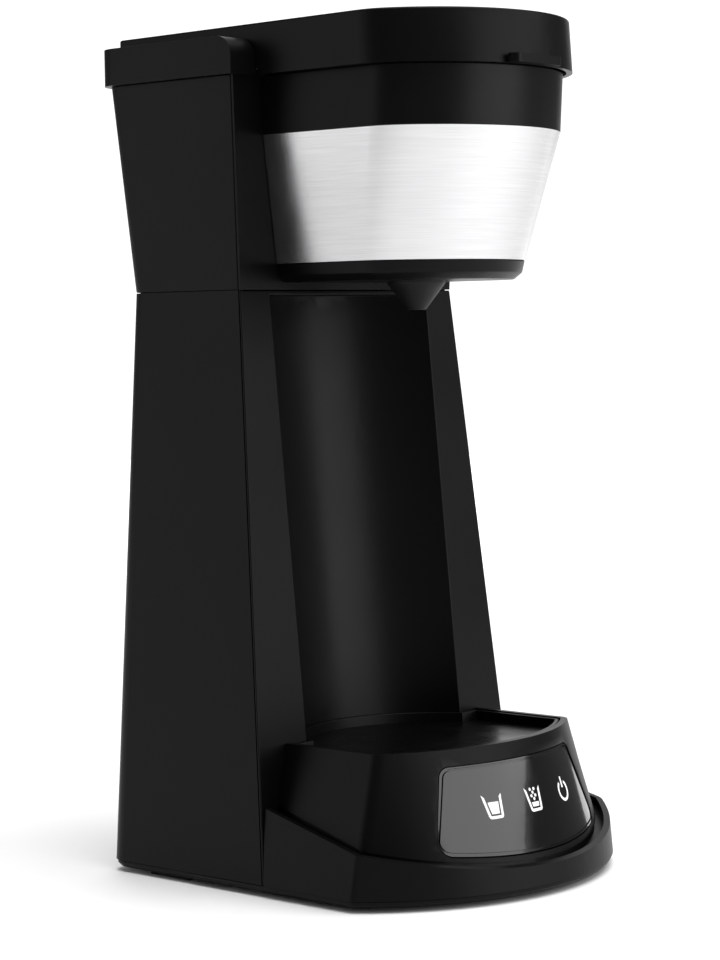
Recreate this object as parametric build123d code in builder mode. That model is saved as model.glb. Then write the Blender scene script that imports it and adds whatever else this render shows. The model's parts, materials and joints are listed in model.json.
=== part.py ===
from build123d import *
from math import hypot, sqrt
import os

os.makedirs("parts", exist_ok=True)

# Millimetres. +Z is up and the front faces -Y. The origin lies on the table, under the middle of
# the whole outline. Places along Y are given from the top edge of the tower's front face, and
# save() moves every finished piece from there to the origin.

# Heights above the table
total_height = 321.0
cheek_top = 315.2
deck_level = 301.2
band_top = 279.6
band_bottom = 232.1
head_bottom = 225.0
seam_level = 222.2
rim_level = 54.3
shell_bottom = 4.4
foot_height = 1.7
nozzle_bottom = 214.0

# Tower: half widths, and the places of its front and back faces, at three levels
half_top = 64.4
half_seam = 60.4
half_base = 74.3
front_top = 0.0
front_seam = 1.9
front_base = -18.2
back_top = 70.2
back_seam = 63.0
back_base = 66.5
tower_corner = 9.0
wall = 2.4
seam_gap = 0.3
tongue_height = 1.6
tongue_wall = 1.0
tongue_gap = 0.15
front_lip = 1.0

# Mug channel, a leaning cylinder cut into the front
channel_half_chord = 45.0
channel_depth = 28.0
channel_lip = 1.6

# Collar and lid
collar_overhang = 2.6
collar_front = -1.5
deck_thickness = 2.0
cheek_round = 7.0
lid_half = 53.6
lid_back = 71.0
lid_apex = -91.7
lid_front_slope = 1.4
lid_nose = 60.0
lid_corner = 22.0
lid_wall = 2.2
lid_fall = 1.0
lid_round = 0.9
lid_gap = 0.6
lid_rest_gap = 0.3
tab_width = 27.0
tab_x = -3.0
tab_reach = 3.2
tab_thickness = 3.2
hinge_y = 66.0
hinge_z = 311.4
pin_radius = 2.0
pin_fit = 0.06
pin_length = 8.0

# Head
head_half = 48.6
head_apex = -87.9
head_front_slope = 1.4
head_nose = 57.0
head_corner = 22.0
band_low_half = 41.2
band_low_apex = -71.8
band_low_nose = 47.0
band_low_corner = 18.0
band_thickness = 0.8
rim_low_half = 39.6
rim_low_apex = -69.4
rim_chamfer = 2.6
head_wall = 2.4
head_lip_height = 3.0
ledge_level = 295.5
ledge_width = 2.4

# Brew basket and filter
outlet_y = -32.0
basket_gap = 0.8
basket_wall = 1.8
basket_floor = 237.0
basket_flange = 1.8
nozzle_radius = 11.0
nozzle_tip_radius = 3.4
nozzle_bore = 2.0
nozzle_hole_gap = 1.0
filter_gap = 0.8
filter_wall = 1.4
mesh_thickness = 0.4

# Water path
riser_x = 43.0
riser_y = 20.0
hose_radius = 4.0
hose_bore = 2.5
hose_bend = 10.0
spout_top = deck_level + deck_thickness + 0.8
reservoir_wall = 1.8
reservoir_front = 8.0
reservoir_gap = 1.2
reservoir_floor = 228.0
valve_top = 222.0
valve_radius = 6.5
ball_radius = 3.0
heater_level = 24.0
heater_radius = 5.0
heater_back_y = 46.0
heater_end_x = 24.0
heater_bend_x = -24.0
bracket_level = 15.0
bracket_thickness = 1.5

# Plinth, tray ring and tray
plinth_half = 74.7
plinth_apex = -98.7
plinth_nose = 93.3
plinth_corner = 4.0
plinth_side_draft = 0.14
plinth_front_draft = 0.10
plinth_slope = 0.25
plinth_rise = 36.3
plinth_rim = 2.4
moat_depth = 3.2
ring_sink = 0.2
ring_half = 56.5
ring_apex = -77.3
ring_nose = 93.3
ring_corner = 5.9
ring_low_corner = 8.5
ring_side_flare = 0.315
ring_front_flare = 0.366
ring_wall = 2.6
ring_low = 5.0
tray_gap = 0.7
tray_wall = 1.6
tray_ledge = 1.2
tray_depth = 11.0
cup_drop = 0.4
plate_gap = 0.3
plate_thickness = 2.0
plate_drop = 4.2

# Control lens and its electronics
lens_top = 48.6
lens_half_top = 37.7
lens_half_low = 47.0
lens_margin = 1.7
lens_thickness = 1.2
lens_recess = 0.35
lens_gap = 0.5
lens_round = 5.0
groove_offset = 0.5
groove_width = 0.7
groove_depth = 0.6
icon_pitch = 21.0
board_thickness = 1.6

# Bottom cover, feet and screws
cover_gap = 0.2
cover_inset = 0.6
foot_length = 21.0
foot_width = 9.0
screw_radius = 1.5
screw_head_radius = 3.0
screw_head_height = 1.5
post_radius = 3.6


def mix(low, high, share):
    return low + (high - low) * share


def lower_size(z):
    """Half width, front and back of the lower tower at a height."""
    share = z / seam_level
    return (mix(half_base, half_seam, share), mix(front_base, front_seam, share),
            mix(back_base, back_seam, share))


def upper_size(z):
    """Half width, front and back of the upper tower at a height."""
    share = (z - seam_level) / (deck_level - seam_level)
    return (mix(half_seam, half_top, share), mix(front_seam, front_top, share),
            mix(back_seam, back_top, share))


def tower_outline(half, front, back, corner):
    """Rectangle with its two rear corners rounded."""
    knee = corner * (1 - sqrt(0.5))
    with BuildLine() as edge:
        Line((half, front), (half, back - corner))
        ThreePointArc((half, back - corner), (half - knee, back - knee), (half - corner, back))
        Line((half - corner, back), (corner - half, back))
        ThreePointArc((corner - half, back), (knee - half, back - knee), (-half, back - corner))
        Line((-half, back - corner), (-half, front))
        Line((-half, front), (half, front))
    make_face(edge.edges())


def tower_block(size, z0, z1, inset, reach, mode=Mode.ADD):
    """Tower solid between two heights, inset on its sides and back, its front moved by reach."""
    with BuildPart() as piece:
        for z in (z0, z1):
            half, front, back = size(z)
            with BuildSketch(Plane.XY.offset(z)):
                tower_outline(half - inset, front + reach, back - inset, tower_corner - inset)
        loft(ruled=True)
    add(piece.part, mode=mode)


def slab(size, z0, z1, side_inset, y0, y1, mode=Mode.ADD):
    """Leaning slab along the tower's front face, from y0 to y1 measured from that face."""
    with BuildPart() as piece:
        for z in (z0, z1):
            half, front, back = size(z)
            with BuildSketch(Plane.XY.offset(z)):
                with Locations((0, front + (y0 + y1) / 2)):
                    Rectangle(2 * (half - side_inset), y1 - y0)
        loft(ruled=True)
    add(piece.part, mode=mode)


def nose_corners(half, apex, nose, corner):
    """Side end and front end of the left corner arc of a nose outline, with its middle point."""
    span = nose - corner
    reach = half - corner
    centre_y = apex + nose
    knee_y = centre_y - sqrt(span * span - reach * reach)
    away_x, away_y = -reach / span, (knee_y - centre_y) / span
    tangent = (nose * away_x, centre_y + nose * away_y)
    half_x, half_y = away_x - 1, away_y
    length = hypot(half_x, half_y)
    middle = (-reach + corner * half_x / length, knee_y + corner * half_y / length)
    return (-half, knee_y), middle, tangent


def nose_outline(half, back, apex, nose, corner):
    """Straight back and sides closed by a wide front arc with two smaller corner arcs."""
    side, middle, tangent = nose_corners(half, apex, nose, corner)
    with BuildLine() as edge:
        Line((half, back), (-half, back))
        Line((-half, back), side)
        ThreePointArc(side, middle, tangent)
        ThreePointArc(tangent, (0, apex), (-tangent[0], tangent[1]))
        ThreePointArc((-tangent[0], tangent[1]), (-middle[0], middle[1]), (half, side[1]))
        Line((half, side[1]), (half, back))
    make_face(edge.edges())


def shrink(size, inset):
    """A nose outline's size moved inward on every side by the same distance."""
    half, back, apex, nose, corner = size
    return half - inset, back - inset, apex + inset, nose - inset, max(corner - inset, 0.8)


def nose_block(z0, low, z1, high, mode=Mode.ADD):
    """Solid between a low and a high nose outline."""
    with BuildPart() as piece:
        with BuildSketch(Plane.XY.offset(z0)):
            nose_outline(*low)
        with BuildSketch(Plane.XY.offset(z1)):
            nose_outline(*high)
        loft(ruled=True)
    add(piece.part, mode=mode)


def rod(start, direction, length, radius, mode=Mode.ADD):
    """Round bar, or with Mode.SUBTRACT a bore, from start along direction."""
    with Locations(Plane(origin=start, z_dir=direction)):
        Cylinder(radius, length, align=(Align.CENTER, Align.CENTER, Align.MIN), mode=mode)


def tube(start, direction, length, outer, bore):
    """Straight tube."""
    with BuildPart() as piece:
        rod(start, direction, length, outer)
        rod(start, direction, length, bore, mode=Mode.SUBTRACT)
    add(piece.part)


def block(x0, x1, y0, y1, z0, z1, mode=Mode.ADD):
    """Box between two corners."""
    with Locations(((x0 + x1) / 2, (y0 + y1) / 2, z0)):
        Box(x1 - x0, y1 - y0, z1 - z0, align=(Align.CENTER, Align.CENTER, Align.MIN), mode=mode)


def screw(start, direction, length):
    """Pan head screw whose head sits at start and whose shank runs along direction."""
    back = tuple(-d for d in direction)
    rod(start, direction, length, screw_radius)
    rod(start, back, screw_head_height, screw_head_radius)


origin_shift = -(plinth_apex + back_top + collar_overhang) / 2


def save(part, name, colour):
    part = part.moved(Location((0, origin_shift, 0)))
    part.label = name
    part.color = Color(*colour)
    export_step(part, f"parts/{name}.step")


BLACK = (0.06, 0.06, 0.065)
GLOSS = (0.02, 0.02, 0.022)
STEEL = (0.72, 0.72, 0.73)
CAST = (0.6, 0.61, 0.62)
SILICONE = (0.75, 0.75, 0.72)
RUBBER = (0.12, 0.12, 0.12)
GREEN = (0.1, 0.35, 0.18)
WHITE = (0.92, 0.92, 0.9)

shell_top = seam_level - seam_gap / 2
upper_bottom = seam_level + seam_gap / 2
tongue_top = shell_top + tongue_height
side_reach = front_lip + seam_gap
deck_top = deck_level + deck_thickness

# Screw posts under the lower housing, set into its side walls
post_top = 26.0
post_x = lower_size(post_top)[0] - wall - post_radius + 1.2
post_places = [(x, y) for x in (-post_x, post_x) for y in (2.0, 54.0)]


def seam_size(z):
    """Half width, front and back of the tower at the seam, the same at every height."""
    return half_seam, front_seam, back_seam


# Lower housing: side and rear shell of the flared lower tower, with a tongue round its top edge
inlet_x = 36.0
inlet_z = 30.0
inlet_radius = 6.0
inlet_fit = 0.05
board_y = 48.0
board_x0, board_x1 = -42.0, 14.0
board_z0, board_z1 = 92.0, 162.0
board_posts = [(x, z) for x in (board_x0 + 5, board_x1 - 5) for z in (board_z0 + 5, board_z1 - 5)]
with BuildPart() as lower_housing:
    tower_block(lower_size, shell_bottom, shell_top, 0, side_reach)
    tower_block(seam_size, shell_top - 3, tongue_top, wall - tongue_wall, side_reach)
    tower_block(lower_size, shell_bottom - 1, tongue_top + 1, wall, -6, mode=Mode.SUBTRACT)
    for x, y in post_places:
        rod((x, y, shell_bottom), (0, 0, 1), post_top - shell_bottom, post_radius)
    for x, z in board_posts:
        rod((x, board_y + board_thickness, z), (0, 1, 0),
            lower_size(z)[2] - wall / 2 - board_y - board_thickness, post_radius)
        rod((x, board_y, z), (0, 1, 0), 8, screw_radius, mode=Mode.SUBTRACT)
    for x, y in post_places:
        rod((x, y, shell_bottom - 1), (0, 0, 1), 16, screw_radius, mode=Mode.SUBTRACT)
    rod((inlet_x, back_base - wall - 4, inlet_z), (0, 1, 0), 12, inlet_radius + inlet_fit,
        mode=Mode.SUBTRACT)
save(lower_housing.part, "lower_housing", BLACK)

# Lower front: two leaning wings, the mug channel between them and the lip that closes its top
channel_radius = (channel_half_chord ** 2 + channel_depth ** 2) / (2 * channel_depth)


def channel_centre(z):
    return lower_size(z)[1] + channel_depth - channel_radius


def channel_block(z0, z1, radius, mode=Mode.ADD):
    """Leaning cylinder on the channel's axis."""
    with BuildPart() as piece:
        for z in (z0, z1):
            with BuildSketch(Plane.XY.offset(z)):
                with Locations((0, channel_centre(z))):
                    Circle(radius)
        loft(ruled=True)
    add(piece.part, mode=mode)


with BuildPart() as lower_front:
    channel_block(shell_bottom, shell_top, channel_radius + wall)
    slab(lower_size, shell_bottom - 1, shell_top + 1, -60, -140, 0, mode=Mode.SUBTRACT)
    slab(lower_size, shell_bottom, shell_top, 0, 0, front_lip)
    slab(lower_size, shell_bottom, shell_top, wall + seam_gap, 0, wall)
    channel_block(shell_bottom - 1, shell_top - channel_lip, channel_radius, mode=Mode.SUBTRACT)
save(lower_front.part, "lower_front", BLACK)

# Upper housing: side and rear shell around the reservoir, rebated for the tongue
head_screw_places = [(x, z) for x in (-30.0, 30.0) for z in (244.0, 286.0)]
with BuildPart() as upper_housing:
    tower_block(upper_size, upper_bottom, deck_level, 0, side_reach)
    tower_block(upper_size, upper_bottom - 1, deck_level + 1, wall, -6, mode=Mode.SUBTRACT)
    tower_block(seam_size, upper_bottom - 1, tongue_top + seam_gap,
                wall - tongue_wall - tongue_gap, -6, mode=Mode.SUBTRACT)
save(upper_housing.part, "upper_housing", BLACK)

# Upper front panel, which the head is screwed to
with BuildPart() as upper_front:
    slab(upper_size, upper_bottom, deck_level, 0, 0, front_lip)
    slab(upper_size, upper_bottom, deck_level, wall + seam_gap, 0, wall)
    for x, z in head_screw_places:
        rod((x, -5, z), (0, 1, 0), 15, screw_radius + 0.1, mode=Mode.SUBTRACT)
save(upper_front.part, "upper_front", BLACK)

# Reservoir: open tank with a notch for the hot hose, hung from the deck
notch_x = riser_x - hose_radius - 2.0
notch_y = riser_y + hose_radius + 2.0


def tank_outline(half, front, back, inset):
    """Plan of the tank, with its notch, moved inward."""
    x = half - inset
    with BuildLine() as edge:
        Polyline((-x, front + inset), (notch_x - inset, front + inset),
                 (notch_x - inset, notch_y + inset), (x, notch_y + inset),
                 (x, back - inset), (-x, back - inset), close=True)
    make_face(edge.edges())
    fillet(vertices().group_by(Axis.Y)[-1], tower_corner - wall - reservoir_gap - inset)


def tank_size(z):
    half, front, back = upper_size(z)
    return half - wall - reservoir_gap, reservoir_front, back - wall - reservoir_gap


def tank_block(z0, z1, inset, mode=Mode.ADD):
    with BuildPart() as piece:
        for z in (z0, z1):
            with BuildSketch(Plane.XY.offset(z)):
                tank_outline(*tank_size(z), inset)
        loft(ruled=True)
    add(piece.part, mode=mode)


supply_x = riser_x
supply_y = heater_back_y
spigot_bottom = valve_top - 4.0
with BuildPart() as reservoir:
    tank_block(reservoir_floor, deck_level, 0)
    tank_block(reservoir_floor + reservoir_wall, deck_level + 1, reservoir_wall, mode=Mode.SUBTRACT)
    rod((supply_x, supply_y, spigot_bottom), (0, 0, 1), reservoir_floor - spigot_bottom + 0.5, 4.0)
    rod((supply_x, supply_y, spigot_bottom - 1), (0, 0, 1), 20, hose_bore, mode=Mode.SUBTRACT)
save(reservoir.part, "reservoir", BLACK)

# Strainer cup over the reservoir's outlet
with BuildPart() as strainer:
    strainer_z = reservoir_floor + reservoir_wall
    rod((supply_x, supply_y, strainer_z), (0, 0, 1), 5, 6.0)
    rod((supply_x, supply_y, strainer_z - 1), (0, 0, 1), 5, 5.0, mode=Mode.SUBTRACT)
    with BuildSketch(Plane.XY.offset(strainer_z + 3.5)):
        with Locations((supply_x, supply_y)):
            with PolarLocations(3.0, 6):
                Circle(0.8)
            Circle(0.8)
    extrude(amount=2, mode=Mode.SUBTRACT)
save(strainer.part, "strainer", WHITE)

# Collar: deck on the tower's top edge, and a cheek on each side of the lid
collar_half = half_top + collar_overhang
collar_back = back_top + collar_overhang
cheek_inner = lid_half + lid_gap
with BuildPart() as collar:
    with BuildSketch(Plane.XY.offset(deck_level)):
        tower_outline(collar_half, collar_front, collar_back, tower_corner + collar_overhang)
    extrude(amount=cheek_top - deck_level)
    front_edges = collar.edges().filter_by(Axis.X).group_by(Axis.Z)[-1].group_by(Axis.Y)[0]
    fillet(front_edges, cheek_round)
    block(-cheek_inner, cheek_inner, collar_front - 1, collar_back + 1, deck_top, cheek_top + 1,
          mode=Mode.SUBTRACT)
    with BuildSketch(Plane.XY.offset(deck_level - 1)):
        tank_outline(*tank_size(deck_level), reservoir_wall + 0.2)
    extrude(amount=deck_thickness + 2, mode=Mode.SUBTRACT)
    rod((riser_x, riser_y, deck_level - 1), (0, 0, 1), deck_thickness + 2, hose_radius - 0.2,
        mode=Mode.SUBTRACT)
    for side in (-1, 1):
        rod((side * (cheek_inner - 1), hinge_y, hinge_z), (side, 0, 0),
            pin_length / 2 + 2.5, pin_radius + pin_fit, mode=Mode.SUBTRACT)
        x0 = cheek_inner + wall
        x1 = half_top - wall - seam_gap
        block(min(side * x0, side * x1), max(side * x0, side * x1), collar_front + cheek_round + 2,
              hinge_y - 6, deck_level - 1, cheek_top - wall, mode=Mode.SUBTRACT)
save(collar.part, "collar", BLACK)

# Lid: long shell over tower and head, hinged at the back, with a lift tab at the front
lid_bottom = deck_level + lid_rest_gap
lid_size = (lid_half, lid_back, lid_apex, lid_nose, lid_corner)
lid_top_size = (lid_half, lid_back, lid_apex + lid_front_slope, lid_nose, lid_corner)
hinge_reach = 7.4
lid_post_places = ((-40.0, 40.0), (25.0, 50.0), (-34.0, -55.0), (34.0, -55.0))
liner_level = deck_top + 4.6
liner_thickness = 2.0
liner_top = liner_level + liner_thickness
lid_length = lid_back - lid_apex
lid_top_plane = Plane(origin=(0, lid_apex, total_height), z_dir=(0, lid_fall / lid_length, 1))
inner = shrink(lid_size, lid_wall)
inner_top = shrink(lid_top_size, lid_wall)
with BuildPart() as lid_hollow:
    nose_block(lid_bottom - 1, inner, total_height, inner_top)
    split(bisect_by=lid_top_plane.offset(-lid_wall), keep=Keep.BOTTOM)

with BuildPart() as lid:
    nose_block(lid_bottom, lid_size, total_height, lid_top_size)
    split(bisect_by=lid_top_plane, keep=Keep.BOTTOM)
    fillet(lid.faces().sort_by(Axis.Z)[-1].edges(), lid_round)
    add(lid_hollow.part, mode=Mode.SUBTRACT)
    for side in (-1, 1):
        rod((side * (lid_half - 1), hinge_y, hinge_z), (-side, 0, 0), lid_wall + 3, pin_radius + 2.4)
    block(-lid_half - 5, lid_half + 5, collar_front - 0.8, lid_back + 5, lid_bottom - 2,
          deck_top + 0.6, mode=Mode.SUBTRACT)
    with BuildSketch(Plane.YZ.offset(-lid_half - 5)):
        with Locations((hinge_y, hinge_z)):
            Rectangle(30, 30, align=(Align.MIN, Align.MAX))
            Circle(hinge_reach, mode=Mode.SUBTRACT)
    extrude(amount=2 * lid_half + 10, mode=Mode.SUBTRACT)
    for x, y in lid_post_places:
        rod((x, y, liner_top), (0, 0, 1), total_height - lid_fall - lid_wall / 2 - liner_top, post_radius)
        rod((x, y, liner_top - 1), (0, 0, 1), 7, screw_radius, mode=Mode.SUBTRACT)
    for side in (-1, 1):
        rod((side * (lid_half + 1), hinge_y, hinge_z), (-side, 0, 0), pin_length, pin_radius,
            mode=Mode.SUBTRACT)
    with BuildSketch(Plane.XY.offset(lid_bottom)):
        with Locations((tab_x, lid_apex + 1)):
            Rectangle(tab_width, tab_reach + 1, align=(Align.CENTER, Align.MAX))
        fillet(vertices().group_by(Axis.Y)[0], 2.5)
    extrude(amount=tab_thickness)
save(lid.part, "lid", BLACK)

# Hinge pins, pressed into the lid and turning in the cheeks
with BuildPart() as hinge_pins:
    for side in (-1, 1):
        rod((side * (cheek_inner + pin_length / 2), hinge_y, hinge_z), (-side, 0, 0), pin_length,
            pin_radius)
save(hinge_pins.part, "hinge_pins", STEEL)

# Lid liner: flat inner plate held to the lid's posts
shower_y = outlet_y
inlet_hole = 3.6
with BuildPart() as lid_liner:
    half, back, apex, nose, corner = shrink(lid_size, lid_wall + 0.4)
    with BuildSketch(Plane.XY.offset(liner_level)):
        nose_outline(half, hinge_y - 6, apex + lid_front_slope, nose, corner)
        with Locations(*lid_post_places):
            Circle(screw_radius + 0.2, mode=Mode.SUBTRACT)
        with Locations((riser_x, riser_y), (0, shower_y)):
            Circle(inlet_hole, mode=Mode.SUBTRACT)
    extrude(amount=liner_thickness)
save(lid_liner.part, "lid_liner", BLACK)

with BuildPart() as liner_screws:
    for x, y in lid_post_places:
        screw((x, y, liner_level), (0, 0, 1), 7.5)
save(liner_screws.part, "liner_screws", STEEL)

# Water duct on the liner, from above the hot spout to above the shower plate
duct_length = hypot(riser_x, riser_y - shower_y)
duct_height = 5.0
with BuildPart() as water_duct:
    duct_plane = Plane(origin=(riser_x / 2, (riser_y + shower_y) / 2, liner_top),
                       x_dir=(riser_x, riser_y - shower_y, 0), z_dir=(0, 0, 1))
    with BuildSketch(duct_plane):
        SlotCenterToCenter(duct_length, 12)
    extrude(amount=duct_height)
    with BuildSketch(duct_plane):
        SlotCenterToCenter(duct_length, 9)
    extrude(amount=duct_height - 1.5, mode=Mode.SUBTRACT)
save(water_duct.part, "water_duct", WHITE)

# Shower plate under the liner, with rings of drip holes
shower_radius = 25.0
with BuildPart() as shower_plate:
    rod((0, shower_y, liner_level - 3), (0, 0, 1), 3, shower_radius)
    rod((0, shower_y, liner_level - 1.8), (0, 0, 1), 3, shower_radius - 1.4, mode=Mode.SUBTRACT)
    with BuildSketch(Plane.XY.offset(liner_level - 4)):
        with Locations((0, shower_y)):
            with PolarLocations(8, 6):
                Circle(1.0)
            with PolarLocations(17, 12):
                Circle(1.0)
    extrude(amount=4, mode=Mode.SUBTRACT)
save(shower_plate.part, "shower_plate", BLACK)

# Silicone seal on the liner, over the hot spout
with BuildPart() as inlet_seal:
    tube((riser_x, riser_y, spout_top + 0.3), (0, 0, 1), liner_level - spout_top - 0.3, 6.0, 3.6)
save(inlet_seal.part, "inlet_seal", SILICONE)

# Hot spout: flanged fitting through the deck, its barb in the hot hose
barb_length = 7.0
flange_thickness = 1.5
flange_level = deck_level - flange_thickness
with BuildPart() as hot_spout:
    rod((riser_x, riser_y, flange_level), (0, 0, 1), spout_top - flange_level, hose_radius - 0.2)
    rod((riser_x, riser_y, flange_level), (0, 0, 1), flange_thickness, hose_radius + 1.2)
    rod((riser_x, riser_y, flange_level - barb_length), (0, 0, 1), barb_length + 1, hose_bore)
    rod((riser_x, riser_y, flange_level - barb_length - 1), (0, 0, 1), 30, 1.6, mode=Mode.SUBTRACT)
save(hot_spout.part, "hot_spout", WHITE)

# Check valve below the reservoir's spigot, with its ball resting on the seat
valve_bottom = valve_top - 20.0
ball_level = valve_bottom + 6.0 + sqrt((ball_radius + 0.2) ** 2 - 1.8 ** 2)
with BuildPart() as check_valve:
    rod((supply_x, supply_y, valve_bottom), (0, 0, 1), valve_top - valve_bottom, valve_radius)
    rod((supply_x, supply_y, spigot_bottom), (0, 0, 1), 8, 4.0, mode=Mode.SUBTRACT)
    rod((supply_x, supply_y, valve_bottom + 6), (0, 0, 1), 12, ball_radius + 0.6, mode=Mode.SUBTRACT)
    rod((supply_x, supply_y, valve_bottom - barb_length), (0, 0, 1), barb_length + 1, hose_bore)
    rod((supply_x, supply_y, valve_bottom - barb_length - 1), (0, 0, 1), 20, 1.6, mode=Mode.SUBTRACT)
save(check_valve.part, "check_valve", WHITE)

with BuildPart() as valve_ball:
    with Locations((supply_x, supply_y, ball_level)):
        Sphere(ball_radius)
save(valve_ball.part, "valve_ball", STEEL)

# Heater: U-shaped cast tube with a flat web, lying in the base
heater_mid_y = (heater_back_y + riser_y) / 2
spigot_length = 7.0
web_top = heater_level + 3.0
web_x0, web_x1 = heater_bend_x + 4, heater_end_x - 8
with BuildPart() as heater:
    for y in (riser_y, heater_back_y):
        rod((heater_bend_x, y, heater_level), (1, 0, 0), heater_end_x - heater_bend_x, heater_radius)
        rod((heater_end_x - 1, y, heater_level), (1, 0, 0), spigot_length + 1, hose_bore)
    with BuildSketch(Plane(origin=(heater_bend_x, 0, 0), z_dir=(1, 0, 0), x_dir=(0, 1, 0))):
        with Locations((riser_y, heater_level)):
            Circle(heater_radius)
    revolve(axis=Axis((heater_bend_x, heater_mid_y, 0), (0, 0, -1)), revolution_arc=180)
    block(web_x0, web_x1, riser_y, heater_back_y, heater_level - 3, web_top)
    for y in (riser_y, heater_back_y):
        rod((heater_end_x - 8, y, heater_level), (1, 0, 0), 30, 1.6, mode=Mode.SUBTRACT)
save(heater.part, "heater", CAST)

# Bracket with two saddles under the heater's legs
saddle_places = (heater_bend_x + 1, heater_end_x - 3)
bracket_x0, bracket_x1 = heater_bend_x - 6, heater_end_x + 4
bracket_y0, bracket_y1 = riser_y - 6, heater_back_y + 8
bracket_posts = [(x, heater_mid_y + y) for x in (bracket_x0 + 4, bracket_x1 - 4) for y in (-4, 4)]
with BuildPart() as heater_bracket:
    block(bracket_x0, bracket_x1, bracket_y0, bracket_y1, bracket_level,
          bracket_level + bracket_thickness)
    for x in saddle_places:
        for y in (riser_y, heater_back_y):
            block(x - 1, x + 1, y - 5, y + 5, bracket_level, heater_level - 1)
            rod((x - 5, y, heater_level), (1, 0, 0), 10, heater_radius + 0.05, mode=Mode.SUBTRACT)
    for x, y in bracket_posts:
        rod((x, y, bracket_level - 1), (0, 0, 1), 4, screw_radius + 0.1, mode=Mode.SUBTRACT)
save(heater_bracket.part, "heater_bracket", STEEL)

with BuildPart() as bracket_screws:
    for x, y in bracket_posts:
        screw((x, y, bracket_level + bracket_thickness), (0, 0, -1), 7)
save(bracket_screws.part, "bracket_screws", STEEL)

# Thermostat and the two thermal fuses on the web
with BuildPart() as thermostat:
    rod((web_x1 - 9, heater_mid_y, web_top), (0, 0, 1), 6, 8.0)
    rod((web_x1 - 9, heater_mid_y, web_top + 6), (0, 0, 1), 3, 5.5)
    for y in (-4, 4):
        block(web_x1 - 10.5, web_x1 - 7.5, heater_mid_y + y - 0.4, heater_mid_y + y + 0.4,
              web_top + 8, web_top + 15)
save(thermostat.part, "thermostat", STEEL)

fuse_radius = 2.2
with BuildPart() as thermal_fuses:
    for y in (heater_mid_y - 6, heater_mid_y + 6):
        rod((web_x0 + 1, y, web_top + fuse_radius), (1, 0, 0), 14, fuse_radius)
save(thermal_fuses.part, "thermal_fuses", WHITE)


def hose(y, top):
    """Hose from a heater spigot, round a bend and straight up to a fitting."""
    bend_x = riser_x - hose_bend
    bend_z = heater_level + hose_bend
    with BuildPart() as piece:
        with BuildLine():
            Line((heater_end_x + 1, y, heater_level), (bend_x, y, heater_level))
            ThreePointArc((bend_x, y, heater_level),
                          (bend_x + hose_bend * sqrt(0.5), y, bend_z - hose_bend * sqrt(0.5)),
                          (riser_x, y, bend_z))
            Line((riser_x, y, bend_z), (riser_x, y, top))
        with BuildSketch(Plane(origin=(heater_end_x + 1, y, heater_level), z_dir=(1, 0, 0))):
            Circle(hose_radius)
            Circle(hose_bore, mode=Mode.SUBTRACT)
        sweep()
    add(piece.part)


with BuildPart() as hot_hose:
    hose(riser_y, flange_level - 0.2)
save(hot_hose.part, "hot_hose", SILICONE)

with BuildPart() as cold_hose:
    hose(heater_back_y, valve_bottom - 0.2)
save(cold_hose.part, "cold_hose", SILICONE)

clamp_width = 4.0
with BuildPart() as hose_clamps:
    for y in (riser_y, heater_back_y):
        tube((heater_end_x + 2, y, heater_level), (1, 0, 0), clamp_width, hose_radius + 1, hose_radius)
    tube((riser_x, riser_y, flange_level - 6), (0, 0, 1), clamp_width, hose_radius + 1, hose_radius)
    tube((supply_x, supply_y, valve_bottom - 6), (0, 0, 1), clamp_width, hose_radius + 1, hose_radius)
save(hose_clamps.part, "hose_clamps", STEEL)

# Head body: upper shell, stepped tub behind the steel band, flat rear wall and a lip under the lid
head_top = deck_level - 0.1


def head_back(z):
    """Back of the head at a height, just ahead of the tower's leaning front face."""
    return upper_size(z)[1] - seam_gap


upper_band = (head_half, head_back(band_top), head_apex + head_front_slope, head_nose, head_corner)
lower_band = (band_low_half, head_back(band_bottom), band_low_apex, band_low_nose, band_low_corner)
band_span = band_top - band_bottom


def band_size(z, inset=0.0):
    """Outline of the steel band's outer face at a height, moved inward but not at the back."""
    share = (z - band_bottom) / band_span
    half, back, apex, nose, corner = (mix(a, b, share) for a, b in zip(lower_band, upper_band))
    return half - inset, back, apex + inset, nose - inset, max(corner - inset, 0.8)


def keep_back(size, back):
    return size[0], back, size[2], size[3], size[4]


tub_floor = band_bottom + 0.2
tub_back = head_back(deck_level) - head_wall
nozzle_hole = nozzle_radius + nozzle_hole_gap
with BuildPart() as head_body:
    top_size = (head_half, head_back(head_top), head_apex, head_nose, head_corner)
    nose_block(band_top + 0.2, upper_band, head_top, top_size)
    nose_block(tub_floor, band_size(tub_floor, band_thickness + 0.1),
               band_top + 0.3, band_size(band_top, band_thickness + 0.1))
    lip = keep_back(shrink(top_size, head_wall + 0.4), tub_back)
    nose_block(head_top - 1, lip, head_top + head_lip_height, lip)
    upper_inner = keep_back(shrink(top_size, head_wall + 2.0), tub_back - 2)
    nose_block(ledge_level, upper_inner, head_top + head_lip_height + 1, upper_inner, mode=Mode.SUBTRACT)
    tub_low = keep_back(band_size(tub_floor + 2.0, band_thickness + 0.1 + head_wall),
                        head_back(tub_floor) - head_wall)
    tub_high = keep_back(band_size(band_top, band_thickness + 0.1 + head_wall),
                         head_back(band_top) - head_wall)
    nose_block(tub_floor + 2.0, tub_low, band_top, tub_high, mode=Mode.SUBTRACT)
    ledge = keep_back(shrink(top_size, head_wall + 2.0 + ledge_width), tub_back - 2)
    nose_block(band_top - 0.1, tub_high, ledge_level + 0.1, ledge, mode=Mode.SUBTRACT)
    rod((0, outlet_y, tub_floor - 1), (0, 0, 1), 5, nozzle_hole, mode=Mode.SUBTRACT)
    for x, z in head_screw_places:
        rod((x, head_back(z) + 1, z), (0, -1, 0), head_wall + 0.6, screw_radius, mode=Mode.SUBTRACT)
save(head_body.part, "head_body", BLACK)

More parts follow.
